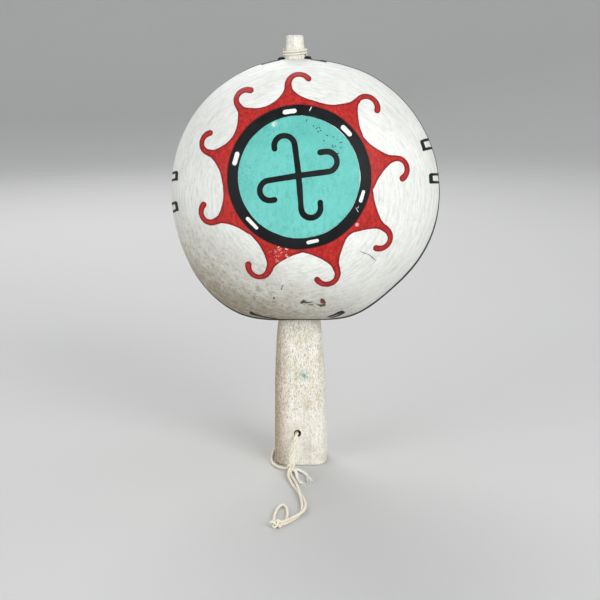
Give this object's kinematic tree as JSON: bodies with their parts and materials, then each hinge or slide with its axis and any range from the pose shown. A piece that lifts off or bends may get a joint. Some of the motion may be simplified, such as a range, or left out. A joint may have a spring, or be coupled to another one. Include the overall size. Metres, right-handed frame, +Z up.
{
  "type": "painted gourd rattle",
  "caption": "Round painted gourd rattle on a tapered wooden stick handle, with loose pebbles sealed inside it and a knotted cotton wrist cord.",
  "frame": {"origin": "the point where the stick's axis meets the handle's flat butt face, which the rattle stands on; the centre of that face is 0.6 mm to the left of it", "axes": "+Z up along the stick, from the butt to the tip; +Y from the painted front to the back, so the front faces -Y; +X to the right as the front is seen"},
  "size_m": [0.1496, 0.1694, 0.2425],
  "materials": {
    "gourd_shell": "whitewashed dried gourd with a matte painted sun motif",
    "handle_wood": "worn whitewash over bare wood",
    "lashing_thread": "pale cotton thread",
    "cotton_cord": "undyed twisted cotton twine",
    "pebbles": "small dull pebbles or hard seeds"
  },
  "bodies": {
    "rattle": {"gourd_shell": "gourd_shell", "handle_stick": "handle_wood", "tip_lashing": "lashing_thread", "wrist_cord_front": "cotton_cord", "wrist_cord_trail": "cotton_cord", "wrist_cord_back": "cotton_cord", "tie_knot": "cotton_cord", "end_knot": "cotton_cord", "end_eye": "cotton_cord", "cord_tail_1": "cotton_cord", "cord_tail_2": "cotton_cord"},
    "pebble_01": {"pebble_01": "pebbles"},
    "pebble_02": {"pebble_02": "pebbles"},
    "pebble_03": {"pebble_03": "pebbles"},
    "pebble_04": {"pebble_04": "pebbles"},
    "pebble_05": {"pebble_05": "pebbles"},
    "pebble_06": {"pebble_06": "pebbles"},
    "pebble_07": {"pebble_07": "pebbles"},
    "pebble_08": {"pebble_08": "pebbles"},
    "pebble_09": {"pebble_09": "pebbles"},
    "pebble_10": {"pebble_10": "pebbles"},
    "pebble_11": {"pebble_11": "pebbles"},
    "pebble_12": {"pebble_12": "pebbles"}
  },
  "joints": [
    {"name": "pebble_01_bounce", "type": "slide", "parent": "rattle", "child": "pebble_01", "axis": [0, 0, 1], "range_m": [0, 0.1303]},
    {"name": "pebble_02_bounce", "type": "slide", "parent": "rattle", "child": "pebble_02", "axis": [0, 0, 1], "range_m": [0, 0.1298]},
    {"name": "pebble_03_bounce", "type": "slide", "parent": "rattle", "child": "pebble_03", "axis": [0, 0, 1], "range_m": [0, 0.1301]},
    {"name": "pebble_04_bounce", "type": "slide", "parent": "rattle", "child": "pebble_04", "axis": [0, 0, 1], "range_m": [0, 0.1297]},
    {"name": "pebble_05_bounce", "type": "slide", "parent": "rattle", "child": "pebble_05", "axis": [0, 0, 1], "range_m": [0, 0.1298]},
    {"name": "pebble_06_bounce", "type": "slide", "parent": "rattle", "child": "pebble_06", "axis": [0, 0, 1], "range_m": [0, 0.1261]},
    {"name": "pebble_07_bounce", "type": "slide", "parent": "rattle", "child": "pebble_07", "axis": [0, 0, 1], "range_m": [0, 0.1222]},
    {"name": "pebble_08_bounce", "type": "slide", "parent": "rattle", "child": "pebble_08", "axis": [0, 0, 1], "range_m": [0, 0.1233]},
    {"name": "pebble_09_bounce", "type": "slide", "parent": "rattle", "child": "pebble_09", "axis": [0, 0, 1], "range_m": [0, 0.1271]},
    {"name": "pebble_10_bounce", "type": "slide", "parent": "rattle", "child": "pebble_10", "axis": [0, 0, 1], "range_m": [0, 0.1234]},
    {"name": "pebble_11_bounce", "type": "slide", "parent": "rattle", "child": "pebble_11", "axis": [0, 0, 1], "range_m": [0, 0.1229]},
    {"name": "pebble_12_bounce", "type": "slide", "parent": "rattle", "child": "pebble_12", "axis": [0, 0, 1], "range_m": [0, 0.1273]}
  ]
}
